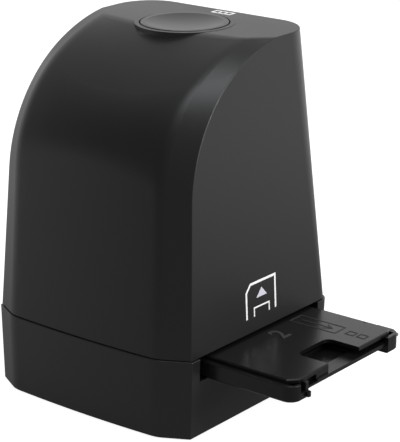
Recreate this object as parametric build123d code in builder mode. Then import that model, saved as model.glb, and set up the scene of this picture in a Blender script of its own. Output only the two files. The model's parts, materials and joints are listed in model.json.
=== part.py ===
from build123d import *
from math import asin, cos, radians, sin, sqrt, tan
import os

os.makedirs("parts", exist_ok=True)

# The frame: +X is the side that the holder slides out of, -Y the bowed front, +Z up.
# The origin is on the surface that the feet stand on, under the middle of the body.

# Body outside, in mm
body_width = 90.0
body_depth = 89.4
seam_height = 30.0
body_height = 133.2
foot_height = 0.5
wall = 2.2
draft = 2.7
half_width = body_width / 2
front_y = -body_depth / 2
rear_y = body_depth / 2
top_rise = body_height - seam_height
lean_in = top_rise * tan(radians(draft))

# Plan shape of the front: a gentle bow, a soft bend, then a flat shoulder with a crisp edge
bow_sag = 0.95
bend_start = 31.5
bend_radius = 11.0
shoulder_angle = 28.5
bow_radius = (bend_start**2 + bow_sag**2) / (2 * bow_sag)
bend_first = asin(bend_start / bow_radius)
bend_last = radians(shoulder_angle)
bend_end = bend_start + bend_radius * (sin(bend_last) - sin(bend_first))
bend_setback = bow_sag + bend_radius * (cos(bend_first) - cos(bend_last))
rear_radius_seam = 6.0
rear_radius_top = 15.0
crest_radius = 0.4
lip_radius = 0.25

# Side profile: a leaning line, a tight arc, a wide arc and a last small arc to the flat top.
# Each pair is the value in the middle of the front and the value at its side edge.
front_lean = 3.7
tight_radius = (32.0, 52.8)
tight_turn = (48.0, 57.0)
wide_radius = (105.0, 66.3)
last_radius = (14.0, 12.0)
last_turn = (20.0, 9.0)

# Base: it stands a little proud of the cover at the seam and draws in towards the floor
base_ledge = 0.55
base_side_inset = 0.35
base_front_inset = -0.15
groove_height = 0.4
groove_depth = 0.6
floor_thickness = 2.7
foot_recess = 0.8

# Film holder
film_y = 2.4
holder_width = 66.4
holder_inner_x = -41.0
holder_outer_x = 83.0
holder_corner = 4.5
holder_bottom = 21.8
holder_rim_top = 27.7
lid_bottom = 25.6
lid_top = 29.0
lid_outer_x = 81.2
lid_near_y = -28.2
lid_far_y = 32.6
frame_length = 36.0
frame_width = 24.0
frame_pitch = 38.0
notch_inner_x = 67.5
notch_y = (-7.8, 11.0)

# Slot through both sides
slot_y = (-33.6, 36.6)
slot_bottom = 21.2
slot_x = (38.0, 47.0)

# Button
button_y = 14.6
button_radius = 16.0
collar_bore = 16.5
collar_radius = 18.2
collar_top = 133.3
flare_radius = 2.2
flare_slope = 22.5
flare_bite = 0.04
flare_top = 132.05
flare_bottom = 128.4
button_top = 133.5
well_floor_top = 127.2
well_floor_bottom = 125.2
stem_radius = 3.2

# Fasteners and feet
boss_x = 30.0
boss_front_y = -38.2
boss_rear_y = 39.7
boss_radius = 2.9
foot_radius = 4.0
foot_places = [(-34.0, -27.0), (34.0, -27.0), (-34.0, 29.0), (34.0, 29.0)]
screw_radius = 1.2
head_radius = 2.3
boss_places = [(-boss_x, boss_front_y), (boss_x, boss_front_y),
               (-boss_x, boss_rear_y), (boss_x, boss_rear_y)]

# Light box, film gate and camera
floor_top = foot_height + floor_thickness
light_board_top = floor_top + 1.6
light_box_top = 20.3
bed_top = 21.5
gate_bottom = seam_height
gate_top = 32.6
chimney_top = 82.0
barrel_radius = 7.0
barrel_bottom = 76.0
barrel_top = 94.0
lens_radius = 5.4
sensor_board_bottom = 99.0
board_thickness = 1.6
main_board_y = 34.6
main_board_back = main_board_y + board_thickness
usb_height = 42.0
switch_board_top = well_floor_bottom - 7.6
switch_board_bottom = switch_board_top - board_thickness
plunger_top = 122.6
cable_x = (-19.0, -9.0)

# Cuts run this far past the face that they open, and parts that join overlap by as much
overcut = 1.0

# Long screws and their bosses: heights above the surface that the feet stand on
head_bottom = 5.0
head_top = 7.0
screw_tip = 44.0
boss_hole_top = 45.0
boss_top = 52.0
boss_foot_radius = 4.2
boss_foot_top = 10.0
screw_gap = 0.2
head_gap = 0.3
drive_length = 3.0
drive_width = 0.6
drive_depth = 1.6

# Short screws: of the boards (radius, head) and of the light box and chimney
board_screw_radius = 0.9
board_head_radius = 1.7
board_head_height = 1.3
plate_screw_radius = 1.0
light_head_radius = 1.8
light_head_height = 1.2
chimney_head_radius = 2.0
chimney_head_height = 1.4
screw_end_gap = 0.1


def setback(x):
    """How far the front stands back at a distance x from the middle."""
    x = abs(x)
    if x <= bend_start:
        return bow_radius - sqrt(bow_radius**2 - x**2)
    if x <= bend_end:
        turn = asin(sin(bend_first) + (x - bend_start) / bend_radius)
        return bow_sag + bend_radius * (cos(bend_first) - cos(turn))
    return bend_setback + (x - bend_end) * tan(bend_last)


def blend(pair, share):
    return pair[0] + (pair[1] - pair[0]) * share


def arch_face(x, inset):
    """Closed side profile at a distance x from the middle, moved inwards by inset."""
    share = (min(abs(x), half_width) / half_width) ** 2
    tilt = draft * (x / half_width) ** 3
    plane = Plane(
        origin=(x, 0, seam_height),
        x_dir=(0, 1, 0),
        z_dir=(cos(radians(tilt)), 0, sin(radians(tilt))),
    )
    r1 = blend(tight_radius, share) - inset
    r2 = blend(wide_radius, share) - inset
    r3 = blend(last_radius, share) - inset
    a0 = radians(front_lean)
    a1 = a0 + radians(blend(tight_turn, share))
    a3 = radians(90)
    a2 = a3 - radians(blend(last_turn, share))
    rise = r1 * (sin(a1) - sin(a0)) + r2 * (sin(a2) - sin(a1)) + r3 * (sin(a3) - sin(a2))
    start_y = front_y + setback(x) + inset / cos(a0)
    straight = top_rise - inset - rise
    p0 = (start_y - 8 * tan(a0), -8)
    p1 = (start_y + straight * tan(a0), straight)

    def step(start, radius, angle_a, angle_b):
        return (start[0] + radius * (cos(angle_a) - cos(angle_b)),
                start[1] + radius * (sin(angle_b) - sin(angle_a)))

    p2 = step(p1, r1, a0, a1)
    p3 = step(p2, r2, a1, a2)
    p4 = step(p3, r3, a2, a3)
    m1 = step(p1, r1, a0, (a0 + a1) / 2)
    m2 = step(p2, r2, a1, (a1 + a2) / 2)
    m3 = step(p3, r3, a2, (a2 + a3) / 2)
    far_y = rear_y + 12
    with BuildSketch(plane) as face:
        with BuildLine():
            Line(p0, p1)
            ThreePointArc(p1, m1, p2)
            ThreePointArc(p2, m2, p3)
            ThreePointArc(p3, m3, p4)
            Line(p4, (far_y, p4[1]))
            Line((far_y, p4[1]), (far_y, -8))
            Line((far_y, -8), p0)
        make_face()
    return face.sketch


def prism_face(height, half, back, radius):
    """Plan of the sides and the rear at one height, open far past the front."""
    with BuildSketch(Plane.XY.offset(height)) as face:
        with BuildLine():
            Line((-half, -70), (half, -70))
            Line((half, -70), (half, back - radius))
            RadiusArc((half, back - radius), (half - radius, back), -radius)
            Line((half - radius, back), (radius - half, back))
            RadiusArc((radius - half, back), (-half, back - radius), -radius)
            Line((-half, back - radius), (-half, -70))
        make_face()
    return face.sketch


def shell_solid(inset, low):
    """The upper body's outside (inset 0) or its cavity, from the height low upwards."""
    bend_width = bend_end - bend_start
    right = [9, 18, 24.5, 29] + [bend_start + bend_width * i / 4 for i in range(5)]
    across = [-x for x in reversed(right)] + [0] + right
    shoulder = [bend_end, half_width, half_width + 3.5]
    high = body_height + 4
    slope = tan(radians(draft))
    low_lean = (low - seam_height) * slope + inset
    high_lean = (high - seam_height) * slope + inset
    growth = (rear_radius_top - rear_radius_seam) / top_rise
    low_radius = rear_radius_seam + growth * (low - seam_height) - inset
    high_radius = rear_radius_seam + growth * (high - seam_height) - inset
    with BuildPart() as prism:
        loft(Sketch() + [
            prism_face(low, half_width - low_lean, rear_y - low_lean, low_radius),
            prism_face(high, half_width - high_lean, rear_y - high_lean, high_radius),
        ], ruled=True)
    with BuildPart() as solid:
        loft(Sketch() + [arch_face(x, inset) for x in across])
        loft(Sketch() + [arch_face(x, inset) for x in shoulder], ruled=True)
        loft(Sketch() + [arch_face(-x, inset) for x in reversed(shoulder)], ruled=True)
        add(prism.part, mode=Mode.INTERSECT)
    return solid.part


def base_face(height, inset_side, inset_front):
    """Plan of the base with its bowed front and flat shoulders, at one height."""
    half = half_width - inset_side
    back = rear_y - inset_side
    start = front_y + inset_front
    radius = rear_radius_seam
    soft = (bend_start + bend_end) / 2

    def at(x):
        return (x, start + setback(x))

    edge = (half, start + setback(half))
    with BuildSketch(Plane.XY.offset(height)) as face:
        with BuildLine():
            ThreePointArc(at(-bend_start), at(0), at(bend_start))
            ThreePointArc(at(bend_start), at(soft), at(bend_end))
            Line(at(bend_end), edge)
            Line(edge, (half, back - radius))
            RadiusArc((half, back - radius), (half - radius, back), -radius)
            Line((half - radius, back), (radius - half, back))
            RadiusArc((radius - half, back), (-half, back - radius), -radius)
            Line((-half, back - radius), (-half, edge[1]))
            Line((-half, edge[1]), at(-bend_end))
            ThreePointArc(at(-bend_end), at(-soft), at(-bend_start))
        make_face()
    return face.sketch


def finish(name, solid):
    solid.label = name
    export_step(solid, f"parts/{name}.step")


def block(x_range, y_range, z_range, mode=Mode.ADD):
    """A box from its limits, for use inside a part."""
    size = [b - a for a, b in (x_range, y_range, z_range)]
    middle = [(a + b) / 2 for a, b in (x_range, y_range, z_range)]
    with Locations(tuple(middle)):
        Box(*size, mode=mode)


def post(places, radius, z_range, mode=Mode.ADD):
    """Upright cylinders of one size, for use inside a part."""
    length = z_range[1] - z_range[0]
    with Locations(*[(x, y, z_range[0]) for x, y in places]):
        Cylinder(radius, length, align=(Align.CENTER, Align.CENTER, Align.MIN), mode=mode)


def plate(half, z_range, mode=Mode.ADD):
    """A box centred over the film, from its half width and half depth, for use inside a part."""
    block((-half[0], half[0]), (film_y - half[1], film_y + half[1]), z_range, mode)


def cross_post(places, radius, y_range, mode=Mode.ADD):
    """Level cylinders along Y at (x, z) places, for use inside a part."""
    middle = (y_range[0] + y_range[1]) / 2
    with Locations(*[Location((x, middle, z), (90, 0, 0)) for x, z in places]):
        Cylinder(radius, y_range[1] - y_range[0], mode=mode)


# Upper housing: the arched shell with the button well, the screw bosses and the inlet
well_place = [(0, button_y)]
switch_post_places = [(-11, button_y), (11, button_y)]
board_low_places = [(-21, 39), (21, 39)]
board_high_places = [(-21, 93), (21, 93)]
board_post_radius = 2.6
board_low_post_end = 43.0
board_high_post_end = 41.0
board_hole_end = 39.6
switch_post_radius = 2.5
switch_hole_top = 121.0
stem_gap = 0.06
inlet_half_width = 4.8
inlet_half_height = 2.9
cavity = shell_solid(wall, seam_height - overcut)


def on_flare(turn):
    """A point of the collar's hollow foot, from upright (0) down to the arch's own slope."""
    return (collar_radius - flare_bite + flare_radius * (1 - cos(radians(turn))),
            flare_top - flare_radius * sin(radians(turn)))


def is_crest(edge):
    """Whether an edge of the shell runs up the crest between its front and a side."""
    on_side = all(
        abs(abs(p.X) - half_width + (p.Z - seam_height) * tan(radians(draft))) < 0.05
        for p in (edge @ 0, edge @ 0.3, edge @ 0.7, edge @ 1)
    )
    return on_side and abs((edge @ 0).Z - (edge @ 1).Z) > 0.15 and (edge @ 0.5).Y < 20


with BuildPart() as upper_housing:
    add(shell_solid(0, seam_height))
    fillet(upper_housing.edges().filter_by(is_crest), crest_radius)
    post(well_place, collar_radius, (well_floor_bottom, collar_top))
    with BuildSketch(Plane(origin=(0, button_y, 0), x_dir=(1, 0, 0), z_dir=(0, -1, 0))):
        with BuildLine():
            foot = on_flare(90 - flare_slope)
            ThreePointArc(on_flare(0), on_flare((90 - flare_slope) / 2), foot)
            Polyline(foot, (foot[0], flare_bottom), (collar_radius - overcut, flare_bottom),
                     (collar_radius - overcut, flare_top), on_flare(0))
        make_face()
    revolve(axis=Axis((0, button_y, 0), (0, 0, 1)))
    add(cavity, mode=Mode.SUBTRACT)
    post(well_place, collar_radius, (well_floor_bottom, body_height - wall / 2))
    post(boss_places, boss_radius, (gate_top, boss_top))
    post(switch_post_places, switch_post_radius, (switch_board_top, well_floor_bottom + overcut))
    cross_post(board_low_places, board_post_radius, (main_board_back, board_low_post_end))
    cross_post(board_high_places, board_post_radius, (main_board_back, board_high_post_end))
    post(well_place, collar_bore, (well_floor_top, body_height + overcut), Mode.SUBTRACT)
    post(well_place, stem_radius + stem_gap, (well_floor_bottom - overcut, body_height), Mode.SUBTRACT)
    post(boss_places, screw_radius, (gate_top, boss_hole_top), Mode.SUBTRACT)
    post(switch_post_places, board_screw_radius, (switch_board_top, switch_hole_top), Mode.SUBTRACT)
    cross_post(board_low_places + board_high_places, board_screw_radius, (main_board_back, board_hole_end),
               Mode.SUBTRACT)
    block((-inlet_half_width, inlet_half_width), (main_board_back, rear_y + overcut + 0.3),
          (usb_height - inlet_half_height, usb_height + inlet_half_height), Mode.SUBTRACT)
finish("upper_housing", upper_housing.part)

# Lower housing: the bowed tray with a slot in each side
with BuildPart() as lower_cavity:
    loft(Sketch() + [
        base_face(floor_top, base_side_inset + wall, base_front_inset + wall),
        base_face(seam_height + overcut, wall, wall),
    ], ruled=True)
with BuildPart() as lower_housing:
    loft(Sketch() + [
        base_face(foot_height, base_side_inset, base_front_inset),
        base_face(seam_height - groove_height, -base_ledge, -base_ledge),
    ], ruled=True)
    shoulder_edges = lower_housing.edges().filter_by(
        lambda e: abs((e @ 0.5).X) > half_width - 1 and (e @ 0.5).Y < -36
        and abs((e @ 0).Z - (e @ 1).Z) > 1)
    fillet(shoulder_edges + lower_housing.edges().group_by(Axis.Z)[0], crest_radius)
    fillet(lower_housing.edges().group_by(Axis.Z)[-1], lip_radius)
    add(base_face(seam_height - groove_height, groove_depth, groove_depth))
    extrude(amount=groove_height)
    add(lower_cavity.part, mode=Mode.SUBTRACT)
    post(boss_places, boss_foot_radius, (floor_top - overcut, boss_foot_top))
    post(boss_places, boss_radius, (floor_top - overcut, seam_height))
    post(boss_places, screw_radius + screw_gap, (foot_height - overcut, seam_height + overcut),
         Mode.SUBTRACT)
    post(boss_places, head_radius + head_gap, (foot_height - overcut, head_top), Mode.SUBTRACT)
    post(foot_places, foot_radius, (foot_height - overcut, foot_height + foot_recess), Mode.SUBTRACT)
    for side in (-1, 1):
        block(sorted((side * slot_x[0], side * slot_x[1])), slot_y, (slot_bottom, seam_height + overcut),
              Mode.SUBTRACT)
finish("lower_housing", lower_housing.part)

with BuildPart() as rubber_feet:
    post(foot_places, foot_radius, (0, foot_height + foot_recess))
    chamfer(rubber_feet.edges().group_by(Axis.Z)[0], 0.3)
finish("rubber_feet", rubber_feet.part)

with BuildPart() as housing_screws:
    post(boss_places, head_radius, (head_bottom, head_top))
    post(boss_places, screw_radius, (head_top, screw_tip))
    with Locations(*[(x, y, head_bottom) for x, y in boss_places]):
        Box(drive_length, drive_width, drive_depth, mode=Mode.SUBTRACT)
        Box(drive_width, drive_length, drive_depth, mode=Mode.SUBTRACT)
finish("housing_screws", housing_screws.part)

# Light box under the film
light_screw_places = [(x, film_y + y) for y in (-21.0, 21.0) for x in (-29.5, 29.5)]
light_board_half = (32.0, 24.0)
light_box_half = (27.0, 18.0)
light_box_inside = (25.4, 16.4)
diffuser_thickness = 2.0
bed_half = (37.6, 32.6)
bed_window_half = (21.0, 15.0)
with BuildPart() as backlight_board:
    plate(light_board_half, (floor_top, light_board_top))
    post(light_screw_places, plate_screw_radius, (floor_top - overcut, light_board_top + overcut),
         Mode.SUBTRACT)
finish("backlight_board", backlight_board.part)

with BuildPart() as backlight_screws:
    post(light_screw_places, light_head_radius, (light_board_top, light_board_top + light_head_height))
    post(light_screw_places, plate_screw_radius, (floor_top, light_board_top))
finish("backlight_screws", backlight_screws.part)

with BuildPart() as backlight_leds:
    with Locations((0, film_y, light_board_top)):
        with GridLocations(12, 12, 4, 2):
            Box(3.5, 2.8, 1.2, align=(Align.CENTER, Align.CENTER, Align.MIN))
finish("backlight_leds", backlight_leds.part)

with BuildPart() as light_box:
    plate(light_box_half, (light_board_top, light_box_top))
    plate(light_box_inside, (0, seam_height), Mode.SUBTRACT)
finish("light_box", light_box.part)

with BuildPart() as diffuser_plate:
    plate(light_box_inside, (light_box_top - diffuser_thickness, light_box_top))
finish("diffuser_plate", diffuser_plate.part)

with BuildPart() as film_bed:
    plate(bed_half, (light_box_top, bed_top))
    plate(bed_window_half, (0, seam_height), Mode.SUBTRACT)
finish("film_bed", film_bed.part)

# Rails that guide the holder's long edges, each with a foot on the floor
rail_top = 29.4
rail_foot_top = floor_top + 2.0
front_rail_y = (-33.5, -31.3)
rear_rail_y = (36.0, 38.2)
with BuildPart() as guide_rail_front:
    block((-36, 36), front_rail_y, (floor_top, rail_top))
    block((-20, 20), (-36.5, front_rail_y[0]), (floor_top, rail_foot_top))
finish("guide_rail_front", guide_rail_front.part)

with BuildPart() as guide_rail_rear:
    block((-24, 24), rear_rail_y, (floor_top, rail_top))
    block((8, 22), (rear_rail_y[1], 41.0), (floor_top, rail_foot_top))
    block(cable_x, (35, 39), (floor_top - overcut, 9), Mode.SUBTRACT)
finish("guide_rail_rear", guide_rail_rear.part)

# Film gate, clamped between the two housings by the four long screws
chimney_screw_places = [(x, film_y + y) for y in (-21.0, 21.0) for x in (-25.0, 25.0)]
gate_x = (-34.0, 34.0)
gate_y = (-40.8, 41.8)
gate_window_half = (20.0, 14.0)
with BuildPart() as film_gate:
    block(gate_x, gate_y, (gate_bottom, gate_top))
    fillet(film_gate.edges().filter_by(Axis.Z), 3)
    plate(gate_window_half, (0, 2 * seam_height), Mode.SUBTRACT)
    block(cable_x, (37.2, 43), (0, 2 * seam_height), Mode.SUBTRACT)
    post(boss_places, screw_radius + screw_gap, (gate_bottom - overcut, gate_top + overcut), Mode.SUBTRACT)
    post(chimney_screw_places, plate_screw_radius, (gate_bottom - overcut, gate_top + overcut),
         Mode.SUBTRACT)
finish("film_gate", film_gate.part)

# Optical chimney: a tapered dark tube from the gate up to the lens
flange_top = gate_top + 2
flange_half = (28.0, 24.0)
sensor_post_radius = 2.2
with BuildPart() as optical_chimney:
    plate(flange_half, (gate_top, flange_top))
    with BuildSketch(Plane.XY.offset(flange_top)):
        with Locations((0, film_y)):
            Rectangle(46, 36)
    with BuildSketch(Plane.XY.offset(chimney_top)):
        with Locations((0, film_y)):
            Rectangle(34, 34)
    loft(ruled=True)
    with BuildSketch(Plane.XY.offset(gate_top)):
        with Locations((0, film_y)):
            Rectangle(42, 31)
    with BuildSketch(Plane.XY.offset(chimney_top - 2)):
        with Locations((0, film_y)):
            Rectangle(29, 29)
    loft(ruled=True, mode=Mode.SUBTRACT)
    post([(0, film_y)], barrel_radius, (chimney_top - 3, chimney_top + overcut), Mode.SUBTRACT)
    post(chimney_screw_places, plate_screw_radius, (gate_top - overcut, flange_top + overcut),
         Mode.SUBTRACT)
    sensor_post_places = [(x, film_y + y) for x in (-13, 13) for y in (-13, 13)]
    post(sensor_post_places, sensor_post_radius, (chimney_top - overcut, sensor_board_bottom))
    post(sensor_post_places, board_screw_radius, (92, sensor_board_bottom + overcut), Mode.SUBTRACT)
finish("optical_chimney", optical_chimney.part)

with BuildPart() as chimney_screws:
    post(chimney_screw_places, chimney_head_radius, (flange_top, flange_top + chimney_head_height))
    post(chimney_screw_places, plate_screw_radius, (gate_bottom, flange_top))
finish("chimney_screws", chimney_screws.part)

lens_place = [(0, film_y)]
barrel_rim = 1.2
barrel_seat = 2.0
lens_thickness = 3.0
lens_bevel = 0.8
with BuildPart() as lens_barrel:
    post(lens_place, barrel_radius, (barrel_bottom, barrel_top))
    post(lens_place, barrel_radius + barrel_rim, (barrel_top - barrel_seat - lens_thickness, barrel_top))
    post(lens_place, lens_radius, (barrel_bottom + barrel_seat, barrel_top + overcut), Mode.SUBTRACT)
    post(lens_place, lens_radius - 1, (barrel_bottom - overcut, barrel_bottom + barrel_seat), Mode.SUBTRACT)
finish("lens_barrel", lens_barrel.part)

with BuildPart() as lens_lower:
    post(lens_place, lens_radius, (barrel_bottom + barrel_seat, barrel_bottom + barrel_seat + lens_thickness))
    chamfer(lens_lower.edges().group_by(Axis.Z)[-1], lens_bevel)
finish("lens_lower", lens_lower.part)

with BuildPart() as lens_upper:
    post(lens_place, lens_radius, (barrel_top - barrel_seat - lens_thickness, barrel_top - barrel_seat))
    chamfer(lens_upper.edges().group_by(Axis.Z)[0], lens_bevel)
finish("lens_upper", lens_upper.part)

with BuildPart() as ir_filter:
    plate((4.6, 4.6), (barrel_top, barrel_top + 0.8))
finish("ir_filter", ir_filter.part)

# Sensor board over the lens
sensor_board_top = sensor_board_bottom + board_thickness
with BuildPart() as sensor_board:
    plate((16, 16), (sensor_board_bottom, sensor_board_top))
    post(sensor_post_places, board_screw_radius, (sensor_board_bottom - overcut, sensor_board_top + overcut),
         Mode.SUBTRACT)
finish("sensor_board", sensor_board.part)

with BuildPart() as image_sensor:
    plate((6, 6), (sensor_board_bottom - 1.8, sensor_board_bottom))
finish("image_sensor", image_sensor.part)

with BuildPart() as sensor_screws:
    post(sensor_post_places, board_head_radius, (sensor_board_top, sensor_board_top + board_head_height))
    post(sensor_post_places, board_screw_radius, (93, sensor_board_top))
finish("sensor_screws", sensor_screws.part)

# Main board, upright behind the chimney, with the cable inlet in the rear wall
main_board_places = board_low_places + board_high_places
with BuildPart() as main_board:
    block((-25, 25), (main_board_y, main_board_back), (35, 97))
    cross_post(main_board_places, board_screw_radius, (main_board_y - overcut, main_board_back + overcut),
               Mode.SUBTRACT)
finish("main_board", main_board.part)

with BuildPart() as main_board_screws:
    cross_post(main_board_places, board_head_radius, (main_board_y - board_head_height, main_board_y))
    cross_post(main_board_places, board_screw_radius, (main_board_y, board_hole_end - screw_end_gap))
finish("main_board_screws", main_board_screws.part)

with BuildPart() as image_chip:
    block((-7, 7), (main_board_y - 1.6, main_board_y), (58, 72))
finish("image_chip", image_chip.part)

with BuildPart() as memory_chip:
    block((10.5, 21.5), (main_board_y - 1.2, main_board_y), (56, 74))
finish("memory_chip", memory_chip.part)

with BuildPart() as crystal:
    block((-19, -13.5), (main_board_y - 2.6, main_board_y), (60, 70))
    fillet(crystal.edges().filter_by(Axis.Y), 2.2)
finish("crystal", crystal.part)

with BuildPart() as capacitors:
    cross_post([(-17, 48), (-9, 48), (15, 48)], 2.6, (main_board_y - 6, main_board_y))
finish("capacitors", capacitors.part)

usb_end = 43.6
socket_half = (4.0, 2.1)
socket_inside = (3.4, 1.5)
tongue_half = (2.4, 0.4)
socket_depth = 5.4


def socket_block(half, y_range, mode=Mode.ADD):
    """A box centred on the inlet, from its half width and half height, for use inside a part."""
    block((-half[0], half[0]), y_range, (usb_height - half[1], usb_height + half[1]), mode)


with BuildPart() as usb_socket:
    socket_block(socket_half, (main_board_back, usb_end))
    socket_block(socket_inside, (usb_end - socket_depth, usb_end + overcut), Mode.SUBTRACT)
    socket_block(tongue_half, (usb_end - socket_depth, usb_end - overcut))
finish("usb_socket", usb_socket.part)

# Flat cables and their sockets
ribbon_thickness = 0.3
ribbon_width = 8.0
plug_depth = 2.2
cable_y = main_board_y - plug_depth / 2
rear_cable_y = main_board_back + plug_depth / 2
with BuildPart() as ribbon_sockets:
    block((-1, 9), (film_y + 9, film_y + 13), (sensor_board_top, sensor_board_top + 2))
    block((-1, 9), (main_board_y - plug_depth, main_board_y), (86, 90))
    block((-14, -4), (main_board_y - plug_depth, main_board_y), (78, 82))
    block((-14, -4), (button_y + 2.4, button_y + 6.4), (switch_board_bottom - 2, switch_board_bottom))
    block(cable_x, (main_board_back, main_board_back + plug_depth), (50, 54))
    block(cable_x, (film_y + 20, film_y + 24), (light_board_top, light_board_top + 2))
finish("ribbon_sockets", ribbon_sockets.part)


def ribbon(name, x_start, route):
    """A flat cable bent along a (y, z) route, extruded across its width."""
    with BuildPart() as cable:
        with BuildSketch(Plane.YZ.offset(x_start)):
            with BuildLine() as path:
                Polyline(*route)
            trace(path.line, line_width=ribbon_thickness)
        extrude(amount=ribbon_width)
    finish(name, cable.part)


sensor_cable_z = sensor_board_top + 1
ribbon("sensor_ribbon", 0, [
    (film_y + 13, sensor_cable_z), (24, sensor_cable_z), (30, 99), (cable_y, 95),
    (cable_y, 90),
])
ribbon("switch_ribbon", -13, [
    (button_y + 6.4, switch_board_bottom - 1), (27, switch_board_bottom - 1), (31, 111),
    (31, 104), (cable_y, 98), (cable_y, 82),
])
ribbon("backlight_ribbon", -18, [
    (film_y + 24, light_board_top + 1), (36, light_board_top + 1), (39.4, 9), (39.4, 46),
    (rear_cable_y, 48.6), (rear_cable_y, 50),
])

# Switch board under the button
switch_body_height = 3.6
switch_bore_radius = 1.85
plunger_radius = 1.75
with BuildPart() as switch_board:
    block((-15, 15), (button_y - 7, button_y + 7), (switch_board_bottom, switch_board_top))
    post(switch_post_places, board_screw_radius, (switch_board_bottom - overcut, switch_board_top + overcut),
         Mode.SUBTRACT)
finish("switch_board", switch_board.part)

with BuildPart() as switch_board_screws:
    post(switch_post_places, board_head_radius,
         (switch_board_bottom - board_head_height, switch_board_bottom))
    post(switch_post_places, board_screw_radius, (switch_board_bottom, switch_hole_top - screw_end_gap))
finish("switch_board_screws", switch_board_screws.part)

with BuildPart() as tact_switch:
    block((-3, 3), (button_y - 3, button_y + 3), (switch_board_top, switch_board_top + switch_body_height))
    post(well_place, switch_bore_radius, (switch_board_top + 1.2, switch_board_top + 4), Mode.SUBTRACT)
finish("tact_switch", tact_switch.part)

with BuildPart() as switch_plunger:
    post(well_place, plunger_radius, (switch_board_top + 2, plunger_top))
finish("switch_plunger", switch_plunger.part)

# Button: a dished round cap with a stem that reaches the switch
cap_wall = 1.6
cap_rise = 1.2
stem_groove = 0.6
dish_depth = 1.3
dish_half = 14.2
dish_radius = (dish_half**2 + dish_depth**2) / (2 * dish_depth)
retainer_z = (well_floor_bottom - 1.1, well_floor_bottom - 0.05)
with BuildPart() as scan_button:
    post(well_place, button_radius, (well_floor_top + cap_rise, button_top))
    post(well_place, button_radius - cap_wall, (well_floor_top, button_top - 2 * cap_wall), Mode.SUBTRACT)
    post(well_place, stem_radius, (plunger_top + 0.05, button_top - 2))
    post(well_place, stem_radius + 1, retainer_z, Mode.SUBTRACT)
    post(well_place, stem_radius - stem_groove, retainer_z)
    with Locations((0, button_y, button_top - dish_depth + dish_radius)):
        Sphere(dish_radius, mode=Mode.SUBTRACT)
    fillet(scan_button.edges().group_by(Axis.Z)[-1], 0.3)
finish("scan_button", scan_button.part)

with BuildPart() as button_retainer:
    post(well_place, stem_radius + 1.8, retainer_z)
    post(well_place, stem_radius - stem_groove, (110, 130), Mode.SUBTRACT)
finish("button_retainer", button_retainer.part)

# Film holder: a base and a hinged lid, with two frame windows and a finger notch
window_places = [(-frame_pitch / 2, film_y), (frame_pitch / 2, film_y)]
holder_near_y = film_y - holder_width / 2
holder_far_y = holder_near_y + holder_width
holder_length = holder_outer_x - holder_inner_x
knuckle_x = (72.6, 79.6)
inner_knuckle_x = (-36.0, -29.0)
pin_y = holder_far_y - 1.3
pin_z = 26.6
pin_radius = 0.7
pin_end = 2.5
rim_gap = 0.3
corner_y = (-22.0, 27.0)
pocket_y = (-26.3, 31.1)
pocket_top = 23.4
lip_bottom = 24.2
lip_outer_x = holder_outer_x - 1.2
film_rib_x = holder_inner_x + 4
film_rib_half = 17.6
latch_y = (-20.2, -15.0)
catch_place = (holder_outer_x, -22.8)
catch_z = (22.6, 24.4)
relief_x = (69.4, 72.4)
lid_pad_x = 63.0
lid_pad_height = 2.0
with BuildPart() as holder_base:
    with BuildSketch(Plane.XY.offset(holder_bottom)):
        with Locations(((holder_inner_x + holder_outer_x) / 2, film_y)):
            RectangleRounded(holder_length, holder_width, holder_corner)
    extrude(amount=holder_rim_top - holder_bottom)
    chamfer(holder_base.edges().group_by(Axis.Z)[0], 0.5)
    fillet(holder_base.edges().group_by(Axis.Z)[-1], lip_radius)
    block((holder_inner_x + 1, lid_outer_x + rim_gap), (lid_near_y - rim_gap, lid_far_y + rim_gap),
          (lid_bottom, body_height), Mode.SUBTRACT)
    block((lid_outer_x, body_width), corner_y, (lid_bottom, body_height), Mode.SUBTRACT)
    block((lid_outer_x - 0.2, body_width), (-26.4, -23.6), (24.6, body_height), Mode.SUBTRACT)
    block((lid_outer_x - 1.8, body_width), latch_y, (lid_bottom - 0.6, body_height), Mode.SUBTRACT)
    for low_x, high_x in (knuckle_x, inner_knuckle_x):
        block((low_x - rim_gap, high_x + rim_gap), (lid_far_y, holder_far_y + 1),
              (lid_bottom - rim_gap, body_height), Mode.SUBTRACT)
        with Locations(Location(((low_x + high_x) / 2, pin_y, pin_z), (0, 90, 0))):
            Cylinder(pin_radius, high_x - low_x + 2 * pin_end, mode=Mode.SUBTRACT)
    with Locations(*[(x, y, lid_bottom) for x, y in window_places]):
        Box(frame_length, frame_width, 20, mode=Mode.SUBTRACT)
    block((film_rib_x, 60), (film_y - film_rib_half, film_y + film_rib_half),
          (lid_bottom - rim_gap, body_height), Mode.SUBTRACT)
    block((notch_inner_x - 2, 76), (notch_y[0] - 2, notch_y[1] + 2),
          (lid_bottom - 1, body_height), Mode.SUBTRACT)
    block((film_rib_x, 77), pocket_y, (0, pocket_top), Mode.SUBTRACT)
    block((76, body_width), corner_y, (0, lip_bottom), Mode.SUBTRACT)
    block((lip_outer_x, body_width), corner_y, (0, body_height), Mode.SUBTRACT)
    with BuildSketch(Plane.XY.offset(catch_z[0])):
        with Locations(catch_place):
            RectangleRounded(2.6, 1.8, 0.6)
    extrude(amount=catch_z[1] - catch_z[0])
finish("holder_base", holder_base.part)

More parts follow.
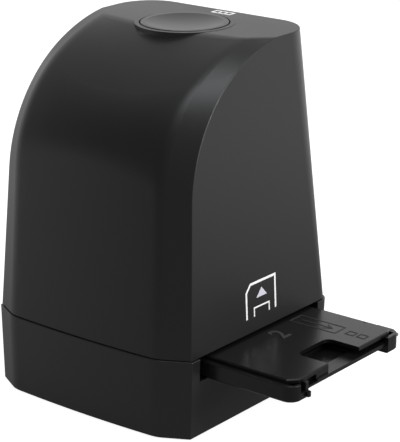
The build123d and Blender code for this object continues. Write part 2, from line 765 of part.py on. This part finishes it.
lid_inner_x = holder_inner_x + 1.3
with BuildPart() as holder_lid:
    with BuildSketch(Plane.XY.offset(lid_bottom + lid_pad_height)):
        with BuildLine():
            Polyline((lid_inner_x, lid_near_y), (lid_outer_x - 3, lid_near_y),
                     (lid_outer_x, lid_near_y + 3), (lid_outer_x, lid_far_y - 3),
                     (lid_outer_x - 1.5, lid_far_y), (lid_inner_x, lid_far_y), (lid_inner_x, lid_near_y))
        make_face()
    extrude(amount=lid_top - lid_bottom - lid_pad_height)
    chamfer(holder_lid.edges().group_by(Axis.Z)[-1], 0.4)
    block((lid_inner_x, lid_pad_x), (lid_near_y, lid_far_y), (lid_bottom, lid_bottom + lid_pad_height))
    block((lid_pad_x, lid_outer_x), (lid_near_y + 3, notch_y[0]), (lid_bottom, lid_bottom + lid_pad_height))
    with Locations(*[(x, y, lid_bottom) for x, y in window_places]):
        Box(frame_length, frame_width, 20, mode=Mode.SUBTRACT)
    with BuildSketch(Plane.XY.offset(lid_bottom)):
        with Locations(((notch_inner_x + 100) / 2, sum(notch_y) / 2)):
            RectangleRounded(100 - notch_inner_x, notch_y[1] - notch_y[0], 3)
    extrude(amount=8, mode=Mode.SUBTRACT)
    block((lid_outer_x - 1.8, lid_outer_x + 1), latch_y, (lid_bottom, lid_bottom + 1.9), Mode.SUBTRACT)
    block(relief_x, (lid_far_y - 1.4, lid_far_y + 1), (lid_bottom, lid_top + 1), Mode.SUBTRACT)
    for low_x, high_x in (knuckle_x, inner_knuckle_x):
        block((low_x, high_x), (lid_far_y - 0.5, holder_far_y), (lid_bottom + 0.2, holder_rim_top))
        with Locations(Location(((low_x + high_x) / 2, pin_y, pin_z), (0, 90, 0))):
            Cylinder(pin_radius, high_x - low_x + 1, mode=Mode.SUBTRACT)
finish("holder_lid", holder_lid.part)

with BuildPart() as hinge_pins:
    for low_x, high_x in (knuckle_x, inner_knuckle_x):
        with Locations(Location(((low_x + high_x) / 2, pin_y, pin_z), (0, 90, 0))):
            Cylinder(pin_radius, high_x - low_x + 2 * pin_end)
finish("hinge_pins", hinge_pins.part)
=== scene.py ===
import json
from math import cos, pi, radians, sin
import bpy
from mathutils import Matrix, Vector


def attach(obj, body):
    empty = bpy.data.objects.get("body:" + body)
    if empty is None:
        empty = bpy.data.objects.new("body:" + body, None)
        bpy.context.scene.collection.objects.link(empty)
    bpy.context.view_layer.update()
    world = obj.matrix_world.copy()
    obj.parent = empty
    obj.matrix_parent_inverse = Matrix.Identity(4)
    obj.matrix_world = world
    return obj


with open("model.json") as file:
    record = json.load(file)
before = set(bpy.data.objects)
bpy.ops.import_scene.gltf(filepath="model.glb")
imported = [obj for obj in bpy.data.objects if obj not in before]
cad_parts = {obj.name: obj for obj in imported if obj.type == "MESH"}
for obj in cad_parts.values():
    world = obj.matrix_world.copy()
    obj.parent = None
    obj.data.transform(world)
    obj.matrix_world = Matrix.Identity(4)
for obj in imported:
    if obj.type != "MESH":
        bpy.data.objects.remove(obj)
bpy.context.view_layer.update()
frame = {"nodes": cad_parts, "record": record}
nodes = frame["nodes"]
mm = 0.001
print("frame loaded")


# Short ways to add shader nodes

def newGroup(name, inputs, outputs):
    group = bpy.data.node_groups.new(name, "ShaderNodeTree")
    for title, kind, value in inputs:
        socket = group.interface.new_socket(title, in_out="INPUT", socket_type=kind)
        if value is not None:
            socket.default_value = value
    for title, kind in outputs:
        group.interface.new_socket(title, in_out="OUTPUT", socket_type=kind)
    return group, group.nodes.new("NodeGroupInput"), group.nodes.new("NodeGroupOutput")


def addNode(tree, kind, **settings):
    node = tree.nodes.new(kind)
    for key, value in settings.items():
        setattr(node, key, value)
    return node


def addFade(tree, start, end, low, high, curve="LINEAR"):
    # a value that goes from low to high while its input goes from start to end
    fade = addNode(tree, "ShaderNodeMapRange", interpolation_type=curve)
    for title, value in (("From Min", start), ("From Max", end), ("To Min", low), ("To Max", high)):
        fade.inputs[title].default_value = value
    return fade


def addDot(tree, direction):
    dot = addNode(tree, "ShaderNodeVectorMath", operation="DOT_PRODUCT")
    dot.inputs[1].default_value = direction
    return dot


# Camera, light, surroundings and floor

photo = {
    "azimuth": 38.53,      # degrees from the front towards the holder's side
    "elevation": 18.49,
    "distance": 677.6,     # mm
    "aim": (18.46, 0.26, 65.31),
    "focalPixels": 1884.7,
    "height": 442,         # pixels
    "sensor": 36.0,        # mm
    "clipStart": 0.02,     # m
}


def addCamera():
    a, e = radians(photo["azimuth"]), radians(photo["elevation"])
    back = Vector((sin(a) * cos(e), -cos(a) * cos(e), sin(e)))
    aim = Vector(photo["aim"]) * mm
    bpy.ops.object.camera_add(location=aim + back * photo["distance"] * mm)
    camera = bpy.context.object
    camera.name = "photoCamera"
    camera.rotation_euler = back.to_track_quat("Z", "Y").to_euler()
    camera.data.sensor_width = photo["sensor"]
    camera.data.lens = photo["focalPixels"] / photo["height"] * photo["sensor"]
    camera.data.clip_start = photo["clipStart"]
    bpy.context.scene.camera = camera


lampTarget = (0.0, 0.0, 0.06)
softLight = {
    "key": {"at": (0.15, -0.10, 0.88), "size": 0.56, "watts": 2.8, "colour": (0.94, 0.97, 1.0)},
    "edge": {"at": (0.85, 0.14, 0.40), "size": 0.34, "watts": 5.0, "colour": (1.0, 1.0, 1.0)},
}


def addLamp(name, lamp):
    at = Vector(lamp["at"])
    bpy.ops.object.light_add(type="AREA", location=at)
    light = bpy.context.object
    light.name = name + "Softbox"
    light.data.shape = "DISK"
    light.data.size = lamp["size"]
    light.data.energy = lamp["watts"]
    light.data.color = lamp["colour"]
    towards = Vector(lampTarget) - at
    light.rotation_euler = towards.to_track_quat("-Z", "Y").to_euler()


surround = {
    "diffuse": 0.95,       # the sky's share of the plain light
    "dark": 0.10,          # what gloss sees behind the camera
    "bright": 1.35,        # and behind the object
    "overhead": (0.25, 0.80, 0.40),    # gloss fades between these heights to this share
    "darkTowards": (0.35, -0.94, 0.0),
    "fade": (-0.9, 0.6),
}


def addSurround():
    world = bpy.data.worlds.new("studio")
    bpy.context.scene.world = world
    world.use_nodes = True
    tree = world.node_tree
    tree.nodes.clear()
    where = addNode(tree, "ShaderNodeTexCoord")
    facing = addDot(tree, surround["darkTowards"])
    shade = addFade(tree, *surround["fade"], surround["bright"], surround["dark"], curve="SMOOTHSTEP")
    height = addNode(tree, "ShaderNodeSeparateXYZ")
    fadeFrom, fadeTo, leastShare = surround["overhead"]
    overhead = addFade(tree, fadeFrom, fadeTo, 1.0, leastShare)
    faded = addNode(tree, "ShaderNodeMath", operation="MULTIPLY")
    path = addNode(tree, "ShaderNodeLightPath")
    glossy = addNode(tree, "ShaderNodeMix")
    glossy.inputs["A"].default_value = surround["diffuse"]
    seen = addNode(tree, "ShaderNodeMath", operation="MAXIMUM")
    clear = addNode(tree, "ShaderNodeMix")
    clear.inputs["B"].default_value = 1.0
    back = addNode(tree, "ShaderNodeBackground")
    out = addNode(tree, "ShaderNodeOutputWorld")
    link = tree.links.new
    link(where.outputs["Generated"], facing.inputs[0])
    link(facing.outputs["Value"], shade.inputs["Value"])
    link(path.outputs["Is Glossy Ray"], glossy.inputs["Factor"])
    link(where.outputs["Generated"], height.inputs[0])
    link(height.outputs["Z"], overhead.inputs["Value"])
    link(shade.outputs["Result"], faded.inputs[0])
    link(overhead.outputs["Result"], faded.inputs[1])
    link(faded.outputs["Value"], glossy.inputs["B"])
    link(path.outputs["Is Camera Ray"], seen.inputs[0])
    link(path.outputs["Is Transmission Ray"], seen.inputs[1])
    link(seen.outputs["Value"], clear.inputs["Factor"])
    link(glossy.outputs["Result"], clear.inputs["A"])
    link(clear.outputs["Result"], back.inputs["Strength"])
    link(back.outputs["Background"], out.inputs["Surface"])


floorLook = {
    # the floor's tone as gloss sees it is darker than to the camera: painted shade in the object's
    # reflections
    "size": 6.0, "roughness": 0.9, "colour": 0.34, "paintedShadeInGloss": 0.16, "lift": 0.87,
    # bands that glow only where gloss sees the floor, painted reflections on the object: share of x and y,
    # from and to in metres, strength
    "rear": (0.5, 1.0, 0.20, 0.48, 0.58),
    "left": (-1.0, 0.5, -0.16, 0.30, 0.54),
}


def addFloor():
    bpy.ops.mesh.primitive_plane_add(size=floorLook["size"], location=(0, 0, 0))
    floor = bpy.context.object
    floor.name = "studioFloor"
    paper = bpy.data.materials.new("whitePaper")
    paper.use_nodes = True
    shader = paper.node_tree.nodes["Principled BSDF"]
    shader.inputs["Roughness"].default_value = floorLook["roughness"]
    shader.inputs["Specular IOR Level"].default_value = 0.0
    shader.inputs["Emission Color"].default_value = (1, 1, 1, 1)
    tree = paper.node_tree
    link = tree.links.new
    path = addNode(tree, "ShaderNodeLightPath")
    # a darker floor tone for gloss rays only: painted shade in the object's reflections
    tone = addFade(tree, 0.0, 1.0, floorLook["colour"], floorLook["paintedShadeInGloss"])
    link(path.outputs["Is Glossy Ray"], tone.inputs["Value"])
    link(tone.outputs["Result"], shader.inputs["Base Color"])
    # glowing bands that only gloss rays see: painted reflections on the object
    place = addNode(tree, "ShaderNodeTexCoord")
    bands = addNode(tree, "ShaderNodeMath", operation="ADD")
    for i, side in enumerate(("rear", "left")):
        shareX, shareY, start, end, strength = floorLook[side]
        along = addDot(tree, (shareX, shareY, 0))
        band = addFade(tree, start, end, 0.0, strength)
        link(place.outputs["Object"], along.inputs[0])
        link(along.outputs["Value"], band.inputs["Value"])
        link(band.outputs["Result"], bands.inputs[i])
    lift = addNode(tree, "ShaderNodeMath", operation="MULTIPLY")
    lift.inputs[1].default_value = floorLook["lift"]
    glow = addNode(tree, "ShaderNodeMath", operation="MULTIPLY_ADD")
    link(path.outputs["Is Camera Ray"], lift.inputs[0])
    link(path.outputs["Is Glossy Ray"], glow.inputs[0])
    link(bands.outputs["Value"], glow.inputs[1])
    link(lift.outputs["Value"], glow.inputs[2])
    link(glow.outputs["Value"], shader.inputs["Emission Strength"])
    floor.data.materials.append(paper)


addCamera()
for lampName, lampValues in softLight.items():
    addLamp(lampName, lampValues)
addSurround()
addFloor()
bpy.context.scene.view_settings.view_transform = "Standard"
print("studio built")


# Materials, all with the same moulded grain under different settings

floatSocket = "NodeSocketFloat"
grainShape = {
    "pitShare": 0.6,       # how much of the relief is round pits, the rest is noise
    "fineRatio": 2.3,      # scale of the noise against the pits
    "fineDetail": 3.0, "fineRoughness": 0.6,
    "slowScale": 55.0, "slowDetail": 4.0,
}


def mouldGrainGroup():
    # the fine sparked texture of a moulded plastic face, with slow changes of gloss
    group, start, end = newGroup("mouldGrain", [
        ("Place", "NodeSocketVector", None), ("Grain", floatSocket, 2600.0),
        ("Gloss", floatSocket, 0.42), ("Gloss Spread", floatSocket, 0.05),
        ("Colour", "NodeSocketColor", (0.02, 0.02, 0.02, 1)), ("Mottle", floatSocket, 0.15),
    ], [("Colour", "NodeSocketColor"), ("Roughness", floatSocket), ("Height", floatSocket)])
    link = group.links.new
    pits = addNode(group, "ShaderNodeTexVoronoi")
    pits.inputs["Randomness"].default_value = 1.0
    fine = addNode(group, "ShaderNodeTexNoise")
    fine.inputs["Detail"].default_value = grainShape["fineDetail"]
    fine.inputs["Roughness"].default_value = grainShape["fineRoughness"]
    finer = addNode(group, "ShaderNodeMath", operation="MULTIPLY")
    finer.inputs[1].default_value = grainShape["fineRatio"]
    slow = addNode(group, "ShaderNodeTexNoise")
    slow.inputs["Scale"].default_value = grainShape["slowScale"]
    slow.inputs["Detail"].default_value = grainShape["slowDetail"]
    link(start.outputs["Place"], pits.inputs["Vector"])
    link(start.outputs["Grain"], pits.inputs["Scale"])
    link(start.outputs["Place"], fine.inputs["Vector"])
    link(start.outputs["Grain"], finer.inputs[0])
    link(finer.outputs["Value"], fine.inputs["Scale"])
    link(start.outputs["Place"], slow.inputs["Vector"])
    relief = addNode(group, "ShaderNodeMath", operation="MULTIPLY_ADD")
    relief.inputs[1].default_value = grainShape["pitShare"]
    link(pits.outputs["Distance"], relief.inputs[0])
    link(fine.outputs["Fac"], relief.inputs[2])
    link(relief.outputs["Value"], end.inputs["Height"])
    centred = addNode(group, "ShaderNodeMath", operation="SUBTRACT")
    centred.inputs[1].default_value = 0.5
    link(slow.outputs["Fac"], centred.inputs[0])
    spread = addNode(group, "ShaderNodeMath", operation="MULTIPLY_ADD")
    link(centred.outputs["Value"], spread.inputs[0])
    link(start.outputs["Gloss Spread"], spread.inputs[1])
    link(start.outputs["Gloss"], spread.inputs[2])
    link(spread.outputs["Value"], end.inputs["Roughness"])
    tone = addNode(group, "ShaderNodeMath", operation="MULTIPLY_ADD")
    tone.inputs[2].default_value = 1.0
    link(centred.outputs["Value"], tone.inputs[0])
    link(start.outputs["Mottle"], tone.inputs[1])
    tint = addNode(group, "ShaderNodeVectorMath", operation="SCALE")
    link(start.outputs["Colour"], tint.inputs[0])
    link(tone.outputs["Value"], tint.inputs["Scale"])
    link(tint.outputs["Vector"], end.inputs["Colour"])
    return group


mouldGrain = mouldGrainGroup()

plastics = {
    "housingBlack": {
        "slot": "housing_black", "colour": (0.0085, 0.0085, 0.0082),
        "grain": 2600, "depth": 0.01, "gloss": 0.4, "spread": 0.05, "mottle": 0.1, "specular": 0.5,
    },
    "buttonBlack": {
        "slot": "button_black", "colour": (0.009, 0.009, 0.0087),
        "grain": 3000, "depth": 0.008, "gloss": 0.36, "spread": 0.05, "mottle": 0.1, "specular": 0.5,
    },
    "holderBlack": {
        "slot": "holder_black", "colour": (0.0045, 0.0045, 0.0048),
        "grain": 2400, "depth": 0.01, "gloss": 0.26, "spread": 0.06, "mottle": 0.12, "specular": 0.38,
    },
    "innerBlack": {
        "slot": "inner_black", "colour": (0.008, 0.008, 0.008),
        "grain": 1800, "depth": 0.02, "gloss": 0.62, "spread": 0.05, "mottle": 0.1, "specular": 0.4,
    },
    "footRubber": {
        "slot": "foot_rubber", "colour": (0.018, 0.018, 0.018),
        "grain": 1500, "depth": 0.03, "gloss": 0.75, "spread": 0.08, "mottle": 0.25, "specular": 0.3,
    },
    "chipBlack": {
        "slot": "chip_black", "colour": (0.015, 0.015, 0.016),
        "grain": 4000, "depth": 0.01, "gloss": 0.5, "spread": 0.05, "mottle": 0.1, "specular": 0.5,
    },
    "ledWhite": {
        "slot": "led_white", "colour": (0.8, 0.76, 0.55),
        "grain": 2000, "depth": 0.01, "gloss": 0.35, "spread": 0.05, "mottle": 0.05, "specular": 0.5,
    },
    "reflectorWhite": {
        "slot": "reflector_white", "colour": (0.78, 0.78, 0.78),
        "grain": 1500, "depth": 0.01, "gloss": 0.4, "spread": 0.05, "mottle": 0.04, "specular": 0.5,
    },
    "diffuserWhite": {
        "slot": "diffuser_white", "colour": (0.82, 0.82, 0.82),
        "grain": 3000, "depth": 0.01, "gloss": 0.55, "spread": 0.05, "mottle": 0.04, "specular": 0.5,
    },
    "socketIvory": {
        "slot": "socket_ivory", "colour": (0.66, 0.61, 0.48),
        "grain": 2500, "depth": 0.01, "gloss": 0.45, "spread": 0.05, "mottle": 0.06, "specular": 0.5,
    },
    "ribbonWhite": {
        "slot": "ribbon_white", "colour": (0.7, 0.71, 0.73),
        "grain": 900, "depth": 0.01, "gloss": 0.35, "spread": 0.06, "mottle": 0.06, "specular": 0.5,
    },
    "screwSteel": {
        "slot": "screw_steel", "colour": (0.56, 0.55, 0.53),
        "grain": 3500, "depth": 0.006, "gloss": 0.32, "spread": 0.12, "mottle": 0.12, "specular": 0.5,
        "metal": 1.0,
    },
    "metalCan": {
        "slot": "metal_can", "colour": (0.62, 0.61, 0.58),
        "grain": 3500, "depth": 0.004, "gloss": 0.28, "spread": 0.12, "mottle": 0.1, "specular": 0.5,
        "metal": 1.0,
    },
    "boardGreen": {
        "slot": "board_green", "colour": (0.018, 0.11, 0.045),
        "grain": 700, "depth": 0.004, "gloss": 0.3, "spread": 0.1, "mottle": 0.25, "specular": 0.5,
    },
    "markWhite": {
        "slot": None, "colour": (0.86, 0.86, 0.86),
        "grain": 3500, "depth": 0.006, "gloss": 0.45, "spread": 0.05, "mottle": 0.03, "specular": 0.5,
    },
    # raised lid marks: a matt finish, with a tone lighter than the lid's own black that is painted glint
    # along their edges
    "markMattPaintedGlint": {
        "slot": None, "colour": (0.036, 0.036, 0.038),
        "grain": 2400, "depth": 0.008, "gloss": 0.6, "spread": 0.05, "mottle": 0.1, "specular": 0.2,
    },
    "markLilac": {
        "slot": None, "colour": (0.6, 0.59, 0.66),
        "grain": 3500, "depth": 0.006, "gloss": 0.45, "spread": 0.05, "mottle": 0.03, "specular": 0.5,
    },
}


def makePlastic(name, look):
    material = bpy.data.materials.new(name)
    material.use_nodes = True
    tree = material.node_tree
    shader = tree.nodes["Principled BSDF"]
    place = addNode(tree, "ShaderNodeTexCoord")
    grain = addNode(tree, "ShaderNodeGroup", node_tree=mouldGrain)
    grain.inputs["Grain"].default_value = look["grain"]
    grain.inputs["Gloss"].default_value = look["gloss"]
    grain.inputs["Gloss Spread"].default_value = look["spread"]
    grain.inputs["Mottle"].default_value = look["mottle"]
    grain.inputs["Colour"].default_value = (*look["colour"], 1)
    bump = addNode(tree, "ShaderNodeBump")
    bump.inputs["Strength"].default_value = 1.0
    bump.inputs["Distance"].default_value = look["depth"] * mm
    tree.links.new(place.outputs["Object"], grain.inputs["Place"])
    tree.links.new(grain.outputs["Colour"], shader.inputs["Base Color"])
    tree.links.new(grain.outputs["Roughness"], shader.inputs["Roughness"])
    tree.links.new(grain.outputs["Height"], bump.inputs["Height"])
    tree.links.new(bump.outputs["Normal"], shader.inputs["Normal"])
    shader.inputs["Specular IOR Level"].default_value = look["specular"]
    shader.inputs["Metallic"].default_value = look.get("metal", 0.0)
    return material


glasses = {
    "opticalGlass": {"slot": "optical_glass", "colour": (0.92, 0.97, 0.96), "ior": 1.52},
    "filterGlass": {"slot": "filter_glass", "colour": (0.62, 0.86, 0.92), "ior": 1.50},
}
polish = {"grain": 900, "depth": 0.0005, "gloss": 0.04, "spread": 0.03, "mottle": 0.02, "specular": 0.5}


def makeGlass(name, look):
    material = makePlastic(name, {**polish, "colour": look["colour"]})
    shader = material.node_tree.nodes["Principled BSDF"]
    shader.inputs["Transmission Weight"].default_value = 1.0
    shader.inputs["IOR"].default_value = look["ior"]
    return material


finishes = {}
for finishName, finishLook in plastics.items():
    finishes[finishName] = makePlastic(finishName, finishLook)
for finishName, finishLook in glasses.items():
    finishes[finishName] = makeGlass(finishName, finishLook)

finishOfSlot = {look["slot"]: name for name, look in {**plastics, **glasses}.items() if look["slot"]}
slotOfNode = {entry["node"]: entry["material_slot"] for entry in frame["record"]["subparts"]}
for nodeName, node in nodes.items():
    node.data.materials.clear()
    node.data.materials.append(finishes[finishOfSlot[slotOfNode[nodeName]]])
print("finishes made:", len(finishes))


# Printed and raised marks

outlineShape = {"mitreLimit": 0.3, "ringGap": 0.002}


def meshOf(outline, thickness, name):
    # one closed outline, drawn vertex by vertex in the XY plane, filled and given its thickness
    bpy.ops.object.select_all(action="DESELECT")
    bpy.ops.mesh.primitive_plane_add(size=mm)
    piece = bpy.context.object
    piece.name = name
    bpy.ops.object.mode_set(mode="EDIT")
    bpy.ops.mesh.select_all(action="SELECT")
    bpy.ops.mesh.merge(type="CENTER")
    first = Vector((*outline[0], 0.0)) * mm
    bpy.ops.transform.translate(value=first)
    for (ax, ay), (bx, by) in zip(outline, outline[1:]):
        step = Vector((bx - ax, by - ay, 0.0)) * mm
        bpy.ops.mesh.extrude_vertices_move(TRANSFORM_OT_translate={"value": step})
    bpy.ops.mesh.select_all(action="SELECT")
    bpy.ops.mesh.edge_face_add()
    bpy.ops.mesh.extrude_region_move(TRANSFORM_OT_translate={"value": (0, 0, thickness * mm)})
    bpy.ops.mesh.select_all(action="SELECT")
    bpy.ops.mesh.normals_make_consistent(inside=False)
    bpy.ops.object.mode_set(mode="OBJECT")
    return piece


def strokeOutline(path, width):
    # a line of one width along a path, with mitred corners and square ends
    points = [Vector(p) for p in path]
    near, far = [], []
    for i, p in enumerate(points):
        before = (p - points[i - 1]).normalized() if i else None
        after = (points[i + 1] - p).normalized() if i + 1 < len(points) else None
        along = (before or after) + (after or before)
        along.normalize()
        side = Vector((-along.y, along.x))
        straight = after or before
        reach = width / 2 / max(outlineShape["mitreLimit"], side.dot(Vector((-straight.y, straight.x))))
        near.append(tuple(p + side * reach))
        far.append(tuple(p - side * reach))
    return near + far[::-1]


def ringOutline(corners, width):
    # a closed frame as one outline, cut open in the middle of its first side
    first = Vector(corners[0])
    start = first.lerp(Vector(corners[1]), 0.5)
    end = start.lerp(first, outlineShape["ringGap"])
    return strokeOutline([tuple(start)] + list(corners[1:]) + [corners[0], tuple(end)], width)


def joinAs(name, parts):
    bpy.ops.object.select_all(action="DESELECT")
    for part in parts:
        part.select_set(True)
    bpy.context.view_layer.objects.active = parts[0]
    if len(parts) > 1:
        bpy.ops.object.join()
    joined = bpy.context.object
    joined.name = name
    joined.data.name = name
    return joined


def settle(piece, place):
    # puts a flat mark where it belongs and leaves its object at the origin
    bpy.ops.object.select_all(action="DESELECT")
    piece.select_set(True)
    bpy.context.view_layer.objects.active = piece
    piece.matrix_world = place
    bpy.ops.object.transform_apply(location=True, rotation=True, scale=True)


def dressMark(piece, body, finishName):
    piece.data.materials.clear()
    piece.data.materials.append(finishes[finishName])
    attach(piece, body)


sideMark = {                       # (y, z) on the right face, mm
    "holderPath": [(-6.0, 35.4), (-6.0, 45.2), (-3.5, 47.9), (11.0, 47.9), (11.0, 35.4)],
    "framePath": [(-1.6, 35.4), (-1.6, 38.6), (7.2, 38.6), (7.2, 35.4)],
    "arrow": [(-0.2, 42.0), (6.0, 42.0), (2.9, 45.4)],
    "line": 0.9, "thinLine": 0.6, "print": 0.03, "sink": 0.01,
    "draft": 2.7, "seam": 30.0, "halfWidth": 45.0,
}


def addSideMark():
    look = sideMark
    lean = radians(look["draft"])
    # local x runs along +Y, local y up the face, local z out of it
    up = Vector((-sin(lean), 0, cos(lean)))
    out = Vector((cos(lean), 0, sin(lean)))
    origin = Vector((look["halfWidth"], 0, look["seam"])) * mm - out * look["sink"] * mm
    place = Matrix((
        (0, up.x, out.x, origin.x), (1, up.y, out.y, origin.y), (0, up.z, out.z, origin.z), (0, 0, 0, 1)))

    def onFace(points):
        return [(y, (z - look["seam"]) / cos(lean)) for y, z in points]

    lines = [
        meshOf(strokeOutline(onFace(look["holderPath"]), look["line"]), look["print"], "holderLine"),
        meshOf(strokeOutline(onFace(look["framePath"]), look["thinLine"]), look["print"], "frameLine"),
    ]
    outlineMark = joinAs("sideMarkLines", lines)
    settle(outlineMark, place)
    dressMark(outlineMark, "housing", "markWhite")
    arrow = meshOf(onFace(look["arrow"]), look["print"], "sideMarkArrow")
    settle(arrow, place)
    dressMark(arrow, "housing", "markLilac")


topMark = {"at": (1.2, 35.6), "size": (8.0, 3.2), "line": 0.80, "top": 133.2, "print": 0.03, "sink": 0.01}


def addTopMark():
    # a plain picture of a strip of three frames behind the button
    look = topMark
    halfX, halfY = look["size"][0] / 2, look["size"][1] / 2
    corners = [(-halfX, -halfY), (halfX, -halfY), (halfX, halfY), (-halfX, halfY)]
    border = meshOf(ringOutline(corners, look["line"]), look["print"], "frameBorder")
    bars = [meshOf(strokeOutline([(x, -halfY), (x, halfY)], look["line"]), look["print"], "frameBar")
            for x in (-halfX / 3, halfX / 3)]
    mark = joinAs("topMark", [border] + bars)
    settle(mark, Matrix.Translation(Vector((*look["at"], look["top"] - look["sink"])) * mm))
    dressMark(mark, "housing", "markWhite")


lidMarks = {
    "top": 29.0, "rise": 0.10, "sink": 0.02, "line": 0.42,
    "box": [(47.5, 16.4), (67.0, 16.4), (67.0, 23.2), (47.5, 23.2)],
    "boxArrow": [[(50.5, 19.8), (63.5, 19.8)], [(60.4, 17.8), (63.6, 19.8), (60.4, 21.8)]],
    "squares": [[(70.2, 18.4), (73.4, 18.4), (73.4, 21.4), (70.2, 21.4)],
                [(75.0, 18.4), (78.2, 18.4), (78.2, 21.4), (75.0, 21.4)]],
    "number": {"text": "2", "at": (55.8, 0.6), "size": 11.0, "weight": 0.16},
}


def digitMesh(look, thickness):
    bpy.ops.object.select_all(action="DESELECT")
    bpy.ops.object.text_add(location=(look["at"][0] * mm, look["at"][1] * mm, 0))
    digit = bpy.context.object
    digit.data.body = look["text"]
    digit.data.size = look["size"] * mm
    digit.data.extrude = thickness / 2 * mm
    digit.data.offset = look["weight"] * mm
    digit.rotation_euler = (0, 0, pi / 2)
    bpy.ops.object.convert(target="MESH")
    digit = bpy.context.object
    digit.location.z = thickness / 2 * mm
    bpy.ops.object.transform_apply(location=True, rotation=True, scale=True)
    return digit


def addLidMarks():
    look = lidMarks
    thickness = look["rise"] + look["sink"]
    parts = [meshOf(ringOutline(look["box"], look["line"]), thickness, "lidBox")]
    parts += [meshOf(strokeOutline(path, look["line"]), thickness, "lidArrow") for path in look["boxArrow"]]
    parts += [meshOf(ringOutline(square, look["line"]), thickness, "lidSquare") for square in look["squares"]]
    parts.append(digitMesh(look["number"], thickness))
    marks = joinAs("lidMarks", parts)
    settle(marks, Matrix.Translation((0, 0, (look["top"] - look["sink"]) * mm)))
    # the marks take the lighter mark finish, painted glint on the lid's black plastic
    dressMark(marks, "holder", "markMattPaintedGlint")


addSideMark()
addTopMark()
addLidMarks()
print("marks added")
